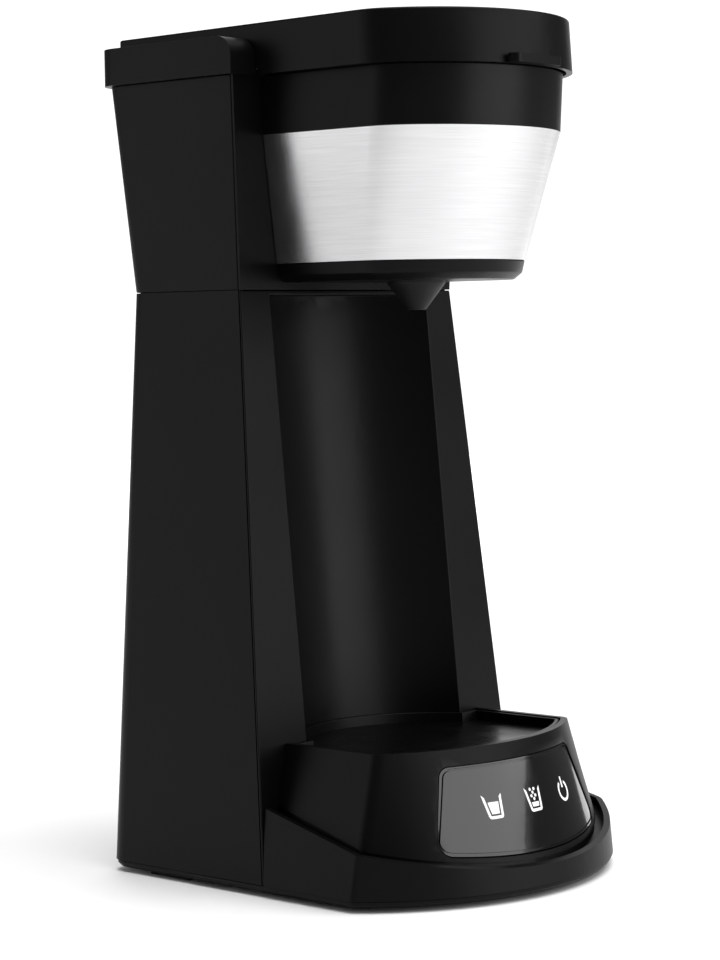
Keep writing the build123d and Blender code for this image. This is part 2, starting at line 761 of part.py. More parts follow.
# Steel band around the tub, open at the back
with BuildPart() as steel_band:
    nose_block(band_bottom, band_size(band_bottom), band_top, band_size(band_top))
    nose_block(band_bottom - 1, keep_back(band_size(band_bottom - 1, band_thickness), 20),
               band_top + 1, keep_back(band_size(band_top + 1, band_thickness), 20), mode=Mode.SUBTRACT)
save(steel_band.part, "steel_band", STEEL)

# Head rim: shallow pan that closes the underside of the head
with BuildPart() as head_rim:
    rim_high = band_size(band_bottom, 0.3)
    rim_low = (rim_low_half, head_back(head_bottom), rim_low_apex, band_low_nose, band_low_corner)
    rim_top = band_bottom - 0.1
    nose_block(head_bottom, rim_low, rim_top, rim_high)
    low_face = head_rim.faces().sort_by(Axis.Z)[0]
    chamfer(low_face.edges().sort_by(Axis.Y)[:-1], rim_chamfer)
    nose_block(head_bottom + head_wall, shrink(rim_low, head_wall + rim_chamfer / 2),
               rim_top + 1, shrink(rim_high, head_wall + 0.6), mode=Mode.SUBTRACT)
    rod((0, outlet_y, head_bottom - 1), (0, 0, 1), 10, nozzle_hole, mode=Mode.SUBTRACT)
save(head_rim.part, "head_rim", BLACK)

with BuildPart() as head_screws:
    for x, z in head_screw_places:
        screw((x, upper_size(z)[1] + wall + 0.1, z), (0, -1, 0), wall + seam_gap + 1.8)
save(head_screws.part, "head_screws", STEEL)

# Brew basket: cup that follows the tub, a flange on the ledge and a conical nozzle below
flange_top = ledge_level + basket_flange
basket_back = tub_back - 2 - ledge_width - basket_gap
basket_high = keep_back(shrink(ledge, basket_gap), basket_back)
basket_low = keep_back(shrink(band_size(basket_floor), band_thickness + 0.1 + head_wall + basket_gap + 1),
                       basket_back)
with BuildPart() as brew_basket:
    nose_block(basket_floor, basket_low, flange_top, basket_high)
    flange = keep_back(shrink(upper_inner, basket_gap), tub_back - 2 - basket_gap)
    nose_block(ledge_level, flange, flange_top, flange)
    nose_block(basket_floor + basket_wall, shrink(basket_low, basket_wall),
               flange_top + 0.1, shrink(basket_high, basket_wall), mode=Mode.SUBTRACT)
    rod((0, outlet_y, head_bottom - 1), (0, 0, 1), basket_floor - head_bottom + 2, nozzle_radius)
    with BuildSketch(Plane.XY.offset(nozzle_bottom)):
        with Locations((0, outlet_y)):
            Circle(nozzle_tip_radius)
    with BuildSketch(Plane.XY.offset(head_bottom - 1)):
        with Locations((0, outlet_y)):
            Circle(nozzle_radius)
    loft(ruled=True)
    rod((0, outlet_y, nozzle_bottom - 1), (0, 0, 1), basket_floor - nozzle_bottom + 5, nozzle_bore,
        mode=Mode.SUBTRACT)
save(brew_basket.part, "brew_basket", BLACK)

# Permanent filter: rim, ribs and floor ring, with a fine steel mesh cup inside
filter_rim_z = flange_top
filter_floor = basket_floor + basket_wall + 4.0
filter_high = keep_back(shrink(basket_high, basket_wall + filter_gap),
                        basket_back - basket_wall - filter_gap)
filter_low = shrink(basket_low, basket_wall + filter_gap + 0.6)


def filter_block(z0, z1, inset, mode=Mode.ADD):
    """Solid with the filter's taper between two heights, moved inward."""
    sizes = []
    for z in (z0, z1):
        share = (z - filter_floor) / (filter_rim_z - filter_floor)
        sizes.append(shrink([mix(a, b, share) for a, b in zip(filter_low, filter_high)], inset))
    nose_block(z0, sizes[0], z1, sizes[1], mode=mode)


rim = keep_back(shrink(basket_high, 0.2), basket_back - 0.2)
with BuildPart() as filter_frame:
    filter_block(filter_floor, filter_rim_z, 0)
    nose_block(filter_rim_z, rim, filter_rim_z + 1.2, rim)
    filter_block(filter_floor + filter_wall, filter_rim_z + 2, filter_wall, mode=Mode.SUBTRACT)
    window_z0 = filter_floor + 8
    window_z1 = filter_rim_z - 10
    for x in (-22.0, 0.0, 22.0):
        block(x - 8, x + 8, -120, 0, window_z0, window_z1, mode=Mode.SUBTRACT)
    for y in (-44.0, -22.0):
        block(-80, 80, y - 8, y + 8, window_z0, window_z1, mode=Mode.SUBTRACT)
    for x in (-18.0, 0.0, 18.0):
        block(x - 6, x + 6, outlet_y - 16, outlet_y + 16, filter_floor - 1, filter_floor + 3,
              mode=Mode.SUBTRACT)
save(filter_frame.part, "filter_frame", BLACK)

with BuildPart() as filter_mesh:
    mesh_inset = filter_wall + 0.1
    mesh_floor = filter_floor + filter_wall + 0.05
    filter_block(mesh_floor, filter_rim_z - 2, mesh_inset)
    filter_block(mesh_floor + mesh_thickness, filter_rim_z - 1, mesh_inset + mesh_thickness,
                 mode=Mode.SUBTRACT)
save(filter_mesh.part, "filter_mesh", STEEL)

# Plinth: hollow D whose top slopes down to the front, with a rim round a moat for the tray ring,
# and two screw posts inside
plinth_back = 20.0
plinth_posts = ((-52.0, -52.0), (52.0, -52.0))


def plinth_size(z, inset=0.0):
    """Outline of the plinth at a height; its walls lean inward."""
    rise = z - shell_bottom
    return (plinth_half - plinth_side_draft * rise - inset, plinth_back,
            plinth_apex + plinth_front_draft * rise + inset, plinth_nose - inset,
            max(plinth_corner - inset, 0.8))


def plinth_block(z0, z1, inset, mode=Mode.ADD):
    nose_block(z0, plinth_size(z0, inset), z1, plinth_size(z1, inset), mode=mode)


def slope_plane(rise):
    """Plane parallel to the plinth's top, raised above it."""
    return Plane(origin=(0, 0, plinth_rise + rise), z_dir=(0, -plinth_slope, 1))


def slope_level(y):
    return plinth_rise + plinth_slope * y


with BuildPart() as plinth_hollow:
    plinth_block(shell_bottom - 1, rim_level, wall)
    split(bisect_by=slope_plane(-moat_depth - wall), keep=Keep.BOTTOM)

with BuildPart() as plinth_moat:
    plinth_block(shell_bottom, rim_level, plinth_rim)
    split(bisect_by=slope_plane(-moat_depth), keep=Keep.TOP)

with BuildPart() as plinth:
    plinth_block(shell_bottom, rim_level, 0)
    split(bisect_by=slope_plane(0), keep=Keep.BOTTOM)
    slab(lower_size, shell_bottom - 2, rim_level + 2, -60, -seam_gap, 150, mode=Mode.SUBTRACT)
    add(plinth_hollow.part, mode=Mode.SUBTRACT)
    add(plinth_moat.part, mode=Mode.SUBTRACT)
    for x, y in plinth_posts:
        rod((x, y, shell_bottom), (0, 0, 1),
            slope_level(y) - moat_depth - wall / 2 - shell_bottom, post_radius)
        rod((x, y, shell_bottom - 1), (0, 0, 1), 12, screw_radius, mode=Mode.SUBTRACT)
save(plinth.part, "plinth", BLACK)


def ring_size(z, inset=0.0):
    """Outline of the drip tray ring at a height; it flares towards the table."""
    drop = rim_level - z
    corner = mix(ring_corner, ring_low_corner, drop / (rim_level - ring_low))
    return (ring_half + ring_side_flare * drop - inset, plinth_back,
            ring_apex - ring_front_flare * drop + inset, ring_nose - inset, max(corner - inset, 0.8))


def ring_block(z0, z1, inset, mode=Mode.ADD):
    nose_block(z0, ring_size(z0, inset), z1, ring_size(z1, inset), mode=mode)


# Outline of the control lens, seen from the front, with a bottom edge parallel to the plinth
lens_side_level = slope_level(ring_size(20)[2] + 10) - ring_sink + lens_margin
lens_mid_level = slope_level(ring_size(15)[2]) - ring_sink + lens_margin


def lens_prism(inset):
    """Solid with the lens's outline that runs forward from the middle of the base."""
    low, high = lens_side_level + inset, lens_top - inset
    x0, x1 = lens_half_low - inset, lens_half_top - inset
    with BuildPart() as piece:
        with BuildSketch(Plane.XZ) as front:
            with BuildLine():
                Polyline((-x0, low), (-x1, high), (x1, high), (x0, low))
                ThreePointArc((x0, low), (0, lens_mid_level + inset), (-x0, low))
            make_face()
            fillet(front.vertices(), lens_round - inset)
        extrude(amount=130)
    return piece.part


# Drip tray ring: flared wall above the moat, a recessed neck in it and a shelf for the tray
tray_bottom = rim_level - plate_drop - plate_thickness - tray_depth
shelf_thickness = 2.0
with BuildPart() as ring_neck:
    ring_block(ring_low, rim_level, ring_wall / 2)
    split(bisect_by=slope_plane(-moat_depth), keep=Keep.TOP)
    split(bisect_by=slope_plane(0.4 - ring_sink), keep=Keep.BOTTOM)

with BuildPart() as lens_pocket:
    ring_block(ring_low, rim_level, -2)
    ring_block(ring_low - 1, rim_level + 1, lens_recess + lens_thickness + 0.05, mode=Mode.SUBTRACT)
    add(lens_prism(0), mode=Mode.INTERSECT)

with BuildPart() as tray_ring:
    ring_block(ring_low, rim_level, 0)
    split(bisect_by=slope_plane(-ring_sink), keep=Keep.TOP)
    add(ring_neck.part)
    ring_block(ring_low - 1, tray_bottom - shelf_thickness, ring_wall, mode=Mode.SUBTRACT)
    ring_block(tray_bottom, rim_level + 1, ring_wall, mode=Mode.SUBTRACT)
    slab(lower_size, -2, 62, -60, -seam_gap, 150, mode=Mode.SUBTRACT)
    add(lens_pocket.part, mode=Mode.SUBTRACT)
save(tray_ring.part, "tray_ring", BLACK)

# Control lens with a decorative groove parallel to its edge
with BuildPart() as lens_groove:
    ring_block(ring_low, rim_level, lens_recess - 1)
    ring_block(ring_low - 1, rim_level + 1, lens_recess + groove_depth, mode=Mode.SUBTRACT)
    add(lens_prism(lens_gap + groove_offset), mode=Mode.INTERSECT)
    add(lens_prism(lens_gap + groove_offset + groove_width), mode=Mode.SUBTRACT)

with BuildPart() as control_lens:
    ring_block(ring_low, rim_level, lens_recess)
    ring_block(ring_low - 1, rim_level + 1, lens_recess + lens_thickness, mode=Mode.SUBTRACT)
    add(lens_prism(lens_gap), mode=Mode.INTERSECT)
    add(lens_groove.part, mode=Mode.SUBTRACT)
save(control_lens.part, "control_lens", GLOSS)


def tray_block(z0, z1, inset, mode=Mode.ADD):
    """Tray solid inside the ring, with a round back that follows the mug channel."""
    size = ring_size(rim_level, ring_wall + tray_gap + inset)
    with BuildPart() as back:
        channel_block(z0, z1, channel_radius - tray_gap - inset)
        slab(lower_size, z0 - 1, z1 + 1, -60, -140, -6, mode=Mode.SUBTRACT)
    with BuildPart() as piece:
        nose_block(z0, size, z1, size)
        slab(lower_size, z0 - 1, z1 + 1, -60, -tray_gap - inset, 150, mode=Mode.SUBTRACT)
        add(back.part)
    add(piece.part, mode=mode)


# Drip tray cup and the glossy plate that lies on its inner ledge
plate_level = tray_bottom + tray_depth
cup_top = rim_level - cup_drop
with BuildPart() as drip_tray:
    tray_block(tray_bottom, cup_top, 0)
    tray_block(plate_level, cup_top + 1, tray_wall, mode=Mode.SUBTRACT)
    tray_block(tray_bottom + tray_wall, plate_level + 1, tray_wall + tray_ledge, mode=Mode.SUBTRACT)
save(drip_tray.part, "drip_tray", BLACK)

with BuildPart() as tray_plate:
    tray_block(plate_level, plate_level + plate_thickness, tray_wall + plate_gap)
save(tray_plate.part, "tray_plate", GLOSS)


def ring_inner_y(x, z):
    """Inner face of the ring's front wall at a place."""
    half, back, apex, nose, corner = ring_size(z, ring_wall)
    return apex + nose - sqrt(nose * nose - x * x)


# Control board under the tray shelf, with touch springs that reach the wall behind the lens
control_y = -73.0
control_top = tray_bottom - shelf_thickness
control_height = 17.0
touch_z = control_top - 5.0
touch_radius = 3.4
touch_xs = (-icon_pitch, 0.0, icon_pitch)
with BuildPart() as control_board:
    block(-30, 30, control_y, control_y + board_thickness, control_top - control_height, control_top)
save(control_board.part, "control_board", GREEN)

with BuildPart() as touch_springs:
    for x in touch_xs:
        reach = control_y - ring_inner_y(abs(x) + touch_radius, touch_z + touch_radius) - 0.3
        tube((x, control_y, touch_z), (0, -1, 0), reach, touch_radius, touch_radius - 0.6)
save(touch_springs.part, "touch_springs", STEEL)

with BuildPart() as indicator_lamps:
    for x in touch_xs:
        rod((x + 7.0, control_y, touch_z), (0, -1, 0), 3.5, 1.5)
save(indicator_lamps.part, "indicator_lamps", WHITE)

# Power board on posts behind the channel, and its components
with BuildPart() as power_board:
    block(board_x0, board_x1, board_y, board_y + board_thickness, board_z0, board_z1)
    for x, z in board_posts:
        rod((x, board_y - 1, z), (0, 1, 0), 5, screw_radius + 0.1, mode=Mode.SUBTRACT)
save(power_board.part, "power_board", GREEN)

with BuildPart() as board_parts:
    block(-28, -12, board_y - 15, board_y, 104, 123)
    block(-30, -14, board_y - 12, board_y, 130, 146)
    block(-4, 4, board_y - 9, board_y, 104, 128)
    for z in (136.0, 150.0):
        rod((-2, board_y, z), (0, -1, 0), 13, 5)
save(board_parts.part, "board_parts", WHITE)

with BuildPart() as board_screws:
    for x, z in board_posts:
        screw((x, board_y, z), (0, 1, 0), 7)
save(board_screws.part, "board_screws", STEEL)

# Bottom cover: flat pan under tower and plinth, with bracket posts, foot pads and screws
cover_top = shell_bottom - cover_gap
cover_chamfer = 1.4
base_screw_places = [*post_places, *plinth_posts]
with BuildPart() as base_cover:
    with BuildSketch(Plane.XY.offset(foot_height)):
        nose_outline(*plinth_size(shell_bottom, cover_inset))
        tower_outline(half_base - cover_inset, 0, back_base - cover_inset, tower_corner)
    extrude(amount=cover_top - foot_height)
    chamfer(base_cover.faces().sort_by(Axis.Z)[0].edges(), cover_chamfer)
    for x, y in bracket_posts:
        rod((x, y, cover_top - 0.5), (0, 0, 1), bracket_level - cover_top + 0.5, post_radius)
        rod((x, y, bracket_level - 7), (0, 0, 1), 9, screw_radius, mode=Mode.SUBTRACT)
    for x, y in base_screw_places:
        rod((x, y, foot_height - 1), (0, 0, 1), 10, screw_radius + 0.1, mode=Mode.SUBTRACT)
        rod((x, y, foot_height - 1), (0, 0, 1), screw_head_height + 1, screw_head_radius + 0.3,
            mode=Mode.SUBTRACT)
save(base_cover.part, "base_cover", BLACK)

with BuildPart() as base_screws:
    for x, y in base_screw_places:
        screw((x, y, foot_height + screw_head_height), (0, 0, 1), 10)
save(base_screws.part, "base_screws", STEEL)

with BuildPart() as foot_pads:
    for x, y in ((-65.0, 36.5), (65.0, 36.5), (-60.0, -50.0), (60.0, -50.0)):
        block(x - foot_width / 2, x + foot_width / 2, y - foot_length / 2, y + foot_length / 2,
              0, foot_height)
save(foot_pads.part, "foot_pads", RUBBER)

# Terminal block on the cover, and the inlet bushing in the rear wall
with BuildPart() as terminal_block:
    block(-12, 14, 54, 63, cover_top, cover_top + 10)
    for x in (-8, 1, 10):
        rod((x, 58.5, cover_top + 11), (0, 0, -1), 4, 1.8, mode=Mode.SUBTRACT)
save(terminal_block.part, "terminal_block", WHITE)

inlet_face = lower_size(inlet_z - inlet_radius - 2)[2] + 0.05
with BuildPart() as cord_inlet:
    rod((inlet_x, inlet_face - wall - 6, inlet_z), (0, 1, 0), wall + 6, inlet_radius)
    rod((inlet_x, inlet_face, inlet_z), (0, 1, 0), 1.6, inlet_radius + 2)
    rod((inlet_x, inlet_face - wall - 8, inlet_z), (0, 1, 0), 20, 3.6, mode=Mode.SUBTRACT)
save(cord_inlet.part, "cord_inlet", BLACK)
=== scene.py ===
import bmesh
import bpy
import json
from math import cos, pi, radians, sin
from mathutils import Matrix, Vector
from mathutils.bvhtree import BVHTree


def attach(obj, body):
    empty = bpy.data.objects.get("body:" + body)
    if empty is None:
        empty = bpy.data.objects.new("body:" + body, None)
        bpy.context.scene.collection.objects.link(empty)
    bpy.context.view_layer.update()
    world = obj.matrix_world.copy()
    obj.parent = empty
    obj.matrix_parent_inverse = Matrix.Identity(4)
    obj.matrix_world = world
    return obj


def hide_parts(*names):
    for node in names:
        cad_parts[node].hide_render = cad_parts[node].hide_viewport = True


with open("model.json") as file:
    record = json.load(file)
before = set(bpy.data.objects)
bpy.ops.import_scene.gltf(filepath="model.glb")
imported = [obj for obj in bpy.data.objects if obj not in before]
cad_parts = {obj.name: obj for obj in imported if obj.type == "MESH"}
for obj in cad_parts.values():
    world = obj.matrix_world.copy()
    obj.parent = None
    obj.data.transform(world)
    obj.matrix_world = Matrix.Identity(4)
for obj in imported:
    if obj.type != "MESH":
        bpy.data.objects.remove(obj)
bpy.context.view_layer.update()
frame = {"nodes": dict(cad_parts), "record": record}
nodes = frame["nodes"]
bodyOf = {node: body for body, names in frame["record"]["behaviour"]["bodies"].items() for node in names}
slotOf = {part["node"]: part["material_slot"] for part in frame["record"]["subparts"]}
mm = 0.001
print("frame loaded")


def toLinear(hexColour):
    # sRGB hex to the linear colour the shaders want
    channels = [int(hexColour[i:i + 2], 16) / 255 for i in (1, 3, 5)]
    return [c / 12.92 if c <= 0.04045 else ((c + 0.055) / 1.055) ** 2.4 for c in channels] + [1.0]


def addNode(tree, kind, settings=None, links=None):
    # settings are attributes or input values by name, links are input name to an output socket
    node = tree.nodes.new("ShaderNode" + kind)
    for key, value in (settings or {}).items():
        if key in node.inputs:
            node.inputs[key].default_value = value
        else:
            setattr(node, key, value)
    for key, output in (links or {}).items():
        tree.links.new(output, node.inputs[key])
    return node


def newMaterial(name):
    material = bpy.data.materials.new(name)
    material.use_nodes = True
    tree = material.node_tree
    tree.nodes.clear()
    coords = addNode(tree, "TexCoord").outputs["Object"]
    return material, tree, coords


def mouldedPlastic(name, look):
    # moulded plastic: even colour, a fine spark-eroded grain and a slow drift in gloss
    material, tree, coords = newMaterial(name)
    grain = addNode(tree, "TexNoise", {"Scale": 1 / (look["grainMm"] * mm), "Detail": 2.0},
                    {"Vector": coords})
    drift = addNode(tree, "TexNoise", {"Scale": 1 / (look["driftMm"] * mm), "Detail": 3.0},
                    {"Vector": coords})
    tone = addNode(tree, "ValToRGB", {}, {"Fac": drift.outputs["Fac"]})
    tone.color_ramp.elements[0].color = toLinear(look["dark"])
    tone.color_ramp.elements[1].color = toLinear(look["light"])
    low, high = look["roughness"]
    gloss = addNode(tree, "MapRange", {"From Min": 0.3, "From Max": 0.7, "To Min": low, "To Max": high},
                    {"Value": drift.outputs["Fac"]})
    bump = addNode(tree, "Bump", {"Strength": look["grainStrength"], "Distance": look["grainDepthMm"] * mm},
                   {"Height": grain.outputs["Fac"]})
    shader = addNode(tree, "BsdfPrincipled", {"IOR": look["ior"], "Specular IOR Level": look["specular"]},
                     {"Base Color": tone.outputs["Color"], "Roughness": gloss.outputs["Result"],
                      "Normal": bump.outputs["Normal"]})
    addNode(tree, "OutputMaterial", {}, {"Surface": shader.outputs["BSDF"]})
    return material


def polishedPlastic(name, look):
    # a smooth moulded surface without grain: its gloss drifts slowly, as if faintly hazed
    material, tree, coords = newMaterial(name)
    haze = addNode(tree, "TexNoise", {"Scale": 1 / (look["hazeMm"] * mm), "Detail": 5.0}, {"Vector": coords})
    low, high = look["roughness"]
    gloss = addNode(tree, "MapRange", {"From Min": 0.35, "From Max": 0.75, "To Min": low, "To Max": high},
                    {"Value": haze.outputs["Fac"]})
    shader = addNode(tree, "BsdfPrincipled", {"Base Color": toLinear(look["colour"]), "IOR": look["ior"],
                                              "Specular IOR Level": look["specular"],
                                              "Coat Weight": look["coat"], "Coat Roughness": 0.03},
                     {"Roughness": gloss.outputs["Result"]})
    addNode(tree, "OutputMaterial", {}, {"Surface": shader.outputs["BSDF"]})
    return material


def brushedSteel(name, look):
    # stainless sheet brushed along its length: reflections smear across the brushing
    material, tree, coords = newMaterial(name)
    stretch = addNode(tree, "Mapping", {"Scale": [1 / (v * mm) for v in look["strokeMm"]]},
                      {"Vector": coords})
    strokes = addNode(tree, "TexNoise", {"Scale": 1.0, "Detail": 3.0, "Roughness": 0.6},
                      {"Vector": stretch.outputs["Vector"]})
    cloud = addNode(tree, "TexNoise", {"Scale": 1 / (look["cloudMm"] * mm), "Detail": 2.0},
                    {"Vector": coords})
    tone = addNode(tree, "ValToRGB", {}, {"Fac": strokes.outputs["Fac"]})
    tone.color_ramp.elements[0].position = 0.3
    tone.color_ramp.elements[0].color = toLinear(look["dark"])
    tone.color_ramp.elements[1].position = 0.7
    tone.color_ramp.elements[1].color = toLinear(look["light"])
    low, high = look["roughness"]
    gloss = addNode(tree, "MapRange", {"From Min": 0.3, "From Max": 0.7, "To Min": low, "To Max": high},
                    {"Value": cloud.outputs["Fac"]})
    bump = addNode(tree, "Bump", {"Strength": look["strokeStrength"], "Distance": look["strokeDepthMm"] * mm},
                   {"Height": strokes.outputs["Fac"]})
    around = addNode(tree, "Tangent", {"direction_type": "RADIAL", "axis": "Z"})
    shader = addNode(tree, "BsdfPrincipled", {"Metallic": 1.0, "Anisotropic": look["anisotropy"]},
                     {"Base Color": tone.outputs["Color"], "Roughness": gloss.outputs["Result"],
                      "Normal": bump.outputs["Normal"], "Tangent": around.outputs["Tangent"]})
    addNode(tree, "OutputMaterial", {}, {"Surface": shader.outputs["BSDF"]})
    return material


satinAbs = mouldedPlastic("satinBlackAbs", {  # black ABS with a satin grain: soft, dark highlights
    "dark": "#040405", "light": "#070708", "roughness": (0.34, 0.41), "ior": 1.5, "specular": 0.1,
    "grainMm": 0.45, "grainStrength": 0.25, "grainDepthMm": 0.02, "driftMm": 60})
innerPlastic = mouldedPlastic("plainBlackPolypropylene", {  # food-safe PP: duller and a little greyer
    "dark": "#0c0c0c", "light": "#121212", "roughness": (0.48, 0.6), "ior": 1.49, "specular": 0.2,
    "grainMm": 0.5, "grainStrength": 0.15, "grainDepthMm": 0.02, "driftMm": 30})
whiteNylon = mouldedPlastic("whiteNylon", {  # unfilled nylon: milky and slightly warm
    "dark": "#d5d3ca", "light": "#e4e2da", "roughness": (0.4, 0.5), "ior": 1.53, "specular": 0.45,
    "grainMm": 0.5, "grainStrength": 0.1, "grainDepthMm": 0.02, "driftMm": 20})
clearSilicone = mouldedPlastic("siliconeRubber", {  # cured silicone: soft greyish white, faintly waxy
    "dark": "#b9b8ae", "light": "#c9c8bf", "roughness": (0.5, 0.62), "ior": 1.41, "specular": 0.4,
    "grainMm": 0.8, "grainStrength": 0.1, "grainDepthMm": 0.02, "driftMm": 15})
blackRubber = mouldedPlastic("blackRubber", {  # carbon-filled rubber: matt and grippy
    "dark": "#0e0e0e", "light": "#141414", "roughness": (0.75, 0.88), "ior": 1.52, "specular": 0.3,
    "grainMm": 0.6, "grainStrength": 0.5, "grainDepthMm": 0.05, "driftMm": 12})
solderMask = mouldedPlastic("greenSolderMask", {  # lacquer over glass epoxy: green with a low shine
    "dark": "#0f4a26", "light": "#155a30", "roughness": (0.28, 0.38), "ior": 1.5, "specular": 0.5,
    "grainMm": 0.9, "grainStrength": 0.2, "grainDepthMm": 0.03, "driftMm": 9})
polishedAcrylic = polishedPlastic("polishedBlackAcrylic", {  # black-backed acrylic: sharp reflections
    "colour": "#050506", "ior": 1.49, "specular": 0.5, "coat": 0.6, "roughness": (0.07, 0.14), "hazeMm": 18})
softGlossTray = polishedPlastic("softGlossPlastic", {  # the tray's plate: softer gloss than the lens
    "colour": "#050505", "ior": 1.5, "specular": 0.12, "coat": 0.0, "roughness": (0.26, 0.38), "hazeMm": 12})
bandSteel = brushedSteel("brushedStainlessSheet", {  # 0.8 mm stainless strip, brushed around the head
    "dark": "#c3c3c4", "light": "#d2d2d3", "roughness": (0.2, 0.25), "anisotropy": 0.5,
    "strokeMm": (26, 26, 0.25), "strokeStrength": 0.05, "strokeDepthMm": 0.005, "cloudMm": 22})
platedSteel = brushedSteel("zincPlatedSteel", {  # bright zinc on steel: bluish grey, drawn lines
    "dark": "#9fa2a6", "light": "#bfc2c5", "roughness": (0.25, 0.36), "anisotropy": 0.2,
    "strokeMm": (3, 3, 0.4), "strokeStrength": 0.1, "strokeDepthMm": 0.01, "cloudMm": 5})
castAluminium = brushedSteel("castAluminium", {  # sand-textured casting: pale grey and dull
    "dark": "#9c9d9e", "light": "#b6b7b8", "roughness": (0.48, 0.6), "anisotropy": 0.0,
    "strokeMm": (0.8, 0.8, 0.8), "strokeStrength": 0.5, "strokeDepthMm": 0.08, "cloudMm": 6})
printedInk = mouldedPlastic("whiteScreenInk", {  # opaque white ink printed on the panel
    "dark": "#e9e9e9", "light": "#f4f4f4", "roughness": (0.5, 0.55), "ior": 1.5, "specular": 0.4,
    "grainMm": 0.3, "grainStrength": 0.05, "grainDepthMm": 0.01, "driftMm": 5})
finishes = {
    "black_plastic": satinAbs, "inner_black_plastic": innerPlastic, "gloss_black_plastic": polishedAcrylic,
    "brushed_steel": bandSteel, "plated_steel": platedSteel, "cast_aluminium": castAluminium,
    "silicone": clearSilicone, "black_rubber": blackRubber, "white_plastic": whiteNylon,
    "green_board": solderMask}
finishOf = {name: finishes[slotOf[name]] for name in nodes}
finishOf["tray_plate"] = softGlossTray
for name, node in nodes.items():
    for slot in node.material_slots:
        slot.material = finishOf[name]
print("materials ready")


def addPiece(name, bm, material, body):
    mesh = bpy.data.meshes.new(name)
    bm.to_mesh(mesh)
    bm.free()
    piece = bpy.data.objects.new(name, mesh)
    bpy.context.collection.objects.link(piece)
    mesh.materials.append(material)
    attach(piece, body)
    return piece


def softenedCopy(node, settings):
    # a moulded or pressed copy of a CAD node, its long edges rounded as its mould leaves them
    bm = bmesh.new()
    bm.from_mesh(nodes[node].data)
    bmesh.ops.remove_doubles(bm, verts=bm.verts, dist=0.002 * mm)
    bmesh.ops.dissolve_limit(bm, angle_limit=radians(0.4), verts=bm.verts, edges=bm.edges)
    piece = addPiece(node + "_shell", bm, finishOf[node], bodyOf[node])
    for polygon in piece.data.polygons:
        polygon.use_smooth = True
    piece.data.set_sharp_from_angle(angle=radians(settings["sharpDegrees"]))
    bevel = piece.modifiers.new("roundedEdges", "BEVEL")
    bevel.width = settings["edgeMm"] * mm
    bevel.segments = settings["segments"]
    bevel.limit_method = "ANGLE"
    bevel.angle_limit = radians(settings["sharpDegrees"])
    bevel.harden_normals = True
    bevel.miter_outer = "MITER_ARC"
    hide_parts(node)
    return piece


mouldedEdge = {"edgeMm": 0.4, "segments": 3, "sharpDegrees": 28}
thinEdge = {"edgeMm": 0.15, "segments": 2, "sharpDegrees": 28}
softEdges = {
    "lower_housing": mouldedEdge, "lower_front": mouldedEdge, "upper_housing": mouldedEdge,
    "upper_front": mouldedEdge, "collar": mouldedEdge, "lid": mouldedEdge, "head_body": mouldedEdge,
    "head_rim": mouldedEdge, "plinth": {"edgeMm": 0.6, "segments": 3, "sharpDegrees": 28},
    "tray_ring": {"edgeMm": 0.5, "segments": 3, "sharpDegrees": 28}, "drip_tray": mouldedEdge,
    "tray_plate": thinEdge, "base_cover": thinEdge,
    "brew_basket": mouldedEdge, "filter_frame": thinEdge, "foot_pads": mouldedEdge, "cord_inlet": mouldedEdge}
for node, settings in softEdges.items():
    softenedCopy(node, settings)
print("shells rounded")

# printed symbols on the touch panel: a full glass, an iced glass and a power mark
symbols = {"pitch": 21.0, "shift": 1.0, "level": 33.0, "glassWide": 9.0, "glassLow": 6.4, "glassTall": 8.6,
           "line": 1.0, "footRound": 1.0, "fullLevel": 0.68, "icedLevel": 0.38, "drinkRise": 1.7,
           "drinkTop": 1.7, "drinkFoot": 1.5, "iceRows": 4, "icePitch": 1.15, "iceLift": 1.1,
           "iceRadius": 0.62, "ringRadius": 3.9, "ringGapDegrees": 70, "ringSteps": 36, "barRise": 0.75,
           "lift": 0.05, "inkThickness": 0.04, "stripReach": 5}


def glassSymbol(iced):
    bm = bmesh.new()
    half, low, tall = symbols["glassWide"] / 2, symbols["glassLow"] / 2, symbols["glassTall"]
    corners = [bm.verts.new((x, 0, z)) for x, z in ((-half, tall), (-low, 0), (low, 0), (half, tall))]
    bm.faces.new(corners)
    foot = corners[1:3]
    bmesh.ops.bevel(bm, geom=foot, offset=symbols["footRound"], segments=3, profile=0.5,
                    affect="VERTICES", material=-1)
    bm.faces.ensure_lookup_table()
    bm.normal_update()
    bmesh.ops.inset_region(bm, faces=bm.faces[:], thickness=symbols["line"], use_boundary=True,
                           use_even_offset=True)
    inside = max(bm.faces, key=lambda f: len(f.verts))
    rim = [f for f in bm.faces if f.calc_center_median().z > tall - symbols["line"]]
    bmesh.ops.delete(bm, geom=[inside] + rim, context="FACES")
    level = tall * (symbols["icedLevel"] if iced else symbols["fullLevel"])
    rise = symbols["line"] * symbols["drinkRise"]
    wide = low + (half - low) * level / tall - symbols["line"] * symbols["drinkTop"]
    narrow = low - symbols["line"] * symbols["drinkFoot"]
    outline = ((-wide, level), (-narrow, rise), (narrow, rise), (wide, level))
    bm.faces.new([bm.verts.new((x, 0, z)) for x, z in outline])
    if iced:
        pitch = symbols["icePitch"]
        for row in range(symbols["iceRows"]):
            for column in (-1, 0, 1):
                if (row + column) % 2:
                    continue
                spot = Matrix.Translation((column * pitch, 0, level + symbols["iceLift"] + row * pitch))
                bmesh.ops.create_circle(bm, cap_ends=True, radius=symbols["iceRadius"], segments=6,
                                        matrix=spot @ Matrix.Rotation(pi / 2, 4, "X"))
    bmesh.ops.translate(bm, verts=bm.verts, vec=(0, 0, -tall / 2))
    return bm


